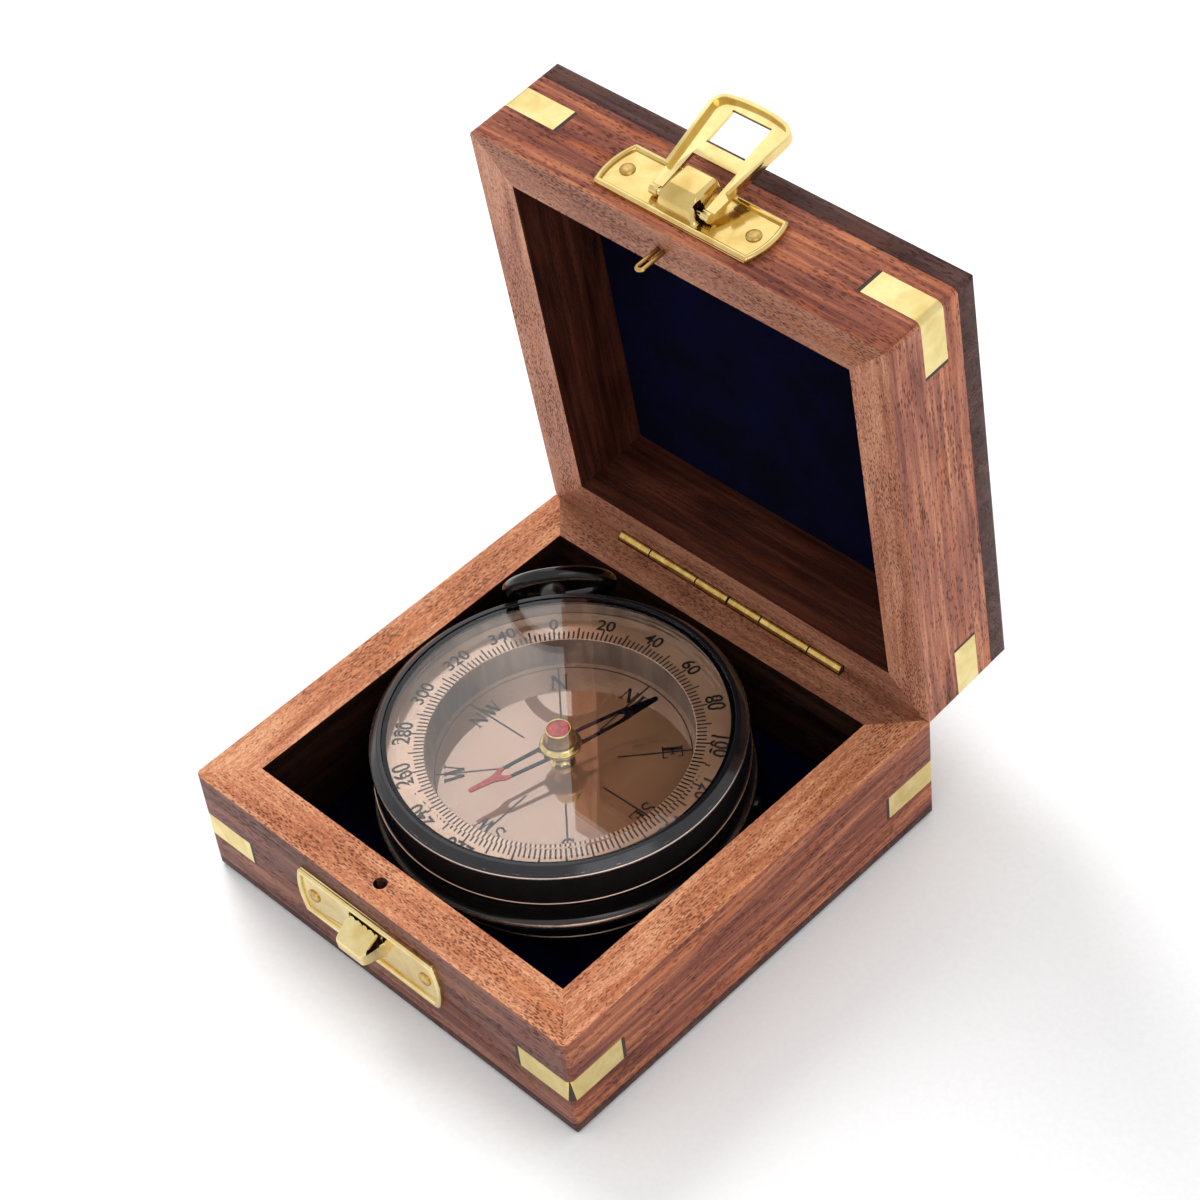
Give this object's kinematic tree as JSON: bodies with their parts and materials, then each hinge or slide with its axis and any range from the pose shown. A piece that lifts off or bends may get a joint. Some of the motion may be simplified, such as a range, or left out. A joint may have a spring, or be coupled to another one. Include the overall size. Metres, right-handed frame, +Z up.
{
  "type": "magnetic compass",
  "caption": "Magnetic compass in a hinged hardwood box: round glazed case with a swinging bow, pierced needle on a pivot, raised degree scale, lid held by a swinging hasp.",
  "frame": {"origin": "middle of the box's underside, on the surface that it stands on", "axes": "+X to the right along the latch side, +Y from the latch side towards the hinges, +Z up; the lid is stored open on its stop"},
  "size_m": [0.1, 0.1275, 0.1362],
  "materials": {
    "wall_wood": "open-pored red-brown hardwood, thin satin polish",
    "panel_wood": "darker purple-brown hardwood, satin",
    "velvet": "navy velvet on card",
    "inlay_brass": "polished flush with the wood",
    "latch_brass": "polished pressed sheet",
    "nail_brass": "domed heads, slightly tarnished",
    "hinge_brass": "plain brass",
    "pin_steel": "drawn wire",
    "wire_brass": "dull drawn wire",
    "black_copper": "blackened, copper showing at worn edges",
    "gunmetal": "blackened and rubbed grey",
    "crystal_glass": "clear, bevelled edge",
    "scale_copper": "coppered, satin",
    "dial_copper": "coppered, mirror polished",
    "post_brass": "turned and polished",
    "blued_steel": "blued black, one end painted red",
    "red_disc": "glossy red"
  },
  "bodies": {
    "base": {"base_front_wall": "wall_wood", "base_back_wall": "wall_wood", "base_left_wall": "wall_wood", "base_right_wall": "wall_wood", "base_bottom_panel": "panel_wood", "base_lining": "velvet", "base_inlay_front_left": "inlay_brass", "base_inlay_front_right": "inlay_brass", "base_inlay_back_left": "inlay_brass", "base_inlay_back_right": "inlay_brass", "catch_plate": "latch_brass", "catch_nails": "nail_brass", "left_hinge_base_leaf": "hinge_brass", "right_hinge_base_leaf": "hinge_brass", "left_hinge_pin": "pin_steel", "right_hinge_pin": "pin_steel", "base_hinge_nails": "nail_brass"},
    "lid": {"lid_front_wall": "wall_wood", "lid_back_wall": "wall_wood", "lid_left_wall": "wall_wood", "lid_right_wall": "wall_wood", "lid_top_panel": "panel_wood", "lid_lining": "velvet", "lid_inlay_front_left": "inlay_brass", "lid_inlay_front_right": "inlay_brass", "lid_inlay_back_left": "inlay_brass", "lid_inlay_back_right": "inlay_brass", "lid_locating_loop": "wire_brass", "latch_plate": "latch_brass", "latch_nails": "nail_brass", "left_hinge_lid_leaf": "hinge_brass", "right_hinge_lid_leaf": "hinge_brass", "lid_hinge_nails": "nail_brass"},
    "hasp": {"hasp": "latch_brass"},
    "compass": {"case_body": "black_copper", "bezel_ring": "gunmetal", "crystal": "crystal_glass", "chapter_ring": "scale_copper", "dial_plate": "dial_copper", "pivot_post": "post_brass", "pendant": "black_copper", "side_stud": "black_copper"},
    "needle": {"needle": "blued_steel", "needle_cap": "post_brass", "cap_jewel": "red_disc"},
    "bow": {"bow_ring": "black_copper"}
  },
  "joints": [
    {"name": "lid_hinge", "type": "hinge", "parent": "base", "child": "lid", "pos_m": [0, 0.0488, 0.02695], "axis": [1, 0, 0], "range_deg": [0, 85.2]},
    {"name": "hasp_pivot", "type": "hinge", "parent": "lid", "child": "hasp", "pos_m": [-0.0021, 0.0468, 0.12784], "axis": [1, 0, 0], "range_deg": [0, 160.7]},
    {"name": "compass_lift", "type": "slide", "parent": "base", "child": "compass", "axis": [0, -0.061, 0.9981], "range_m": [0, 0.13]},
    {"name": "needle_spin", "type": "hinge", "parent": "compass", "child": "needle", "pos_m": [-0.0026, 0.002, 0.0225], "axis": [0, 0, 1], "continuous": true},
    {"name": "bow_swing", "type": "hinge", "parent": "compass", "child": "bow", "pos_m": [-0.03266, 0.03003, 0.0222], "axis": [-0.682, -0.7314, 0], "range_deg": [0, 34]}
  ]
}
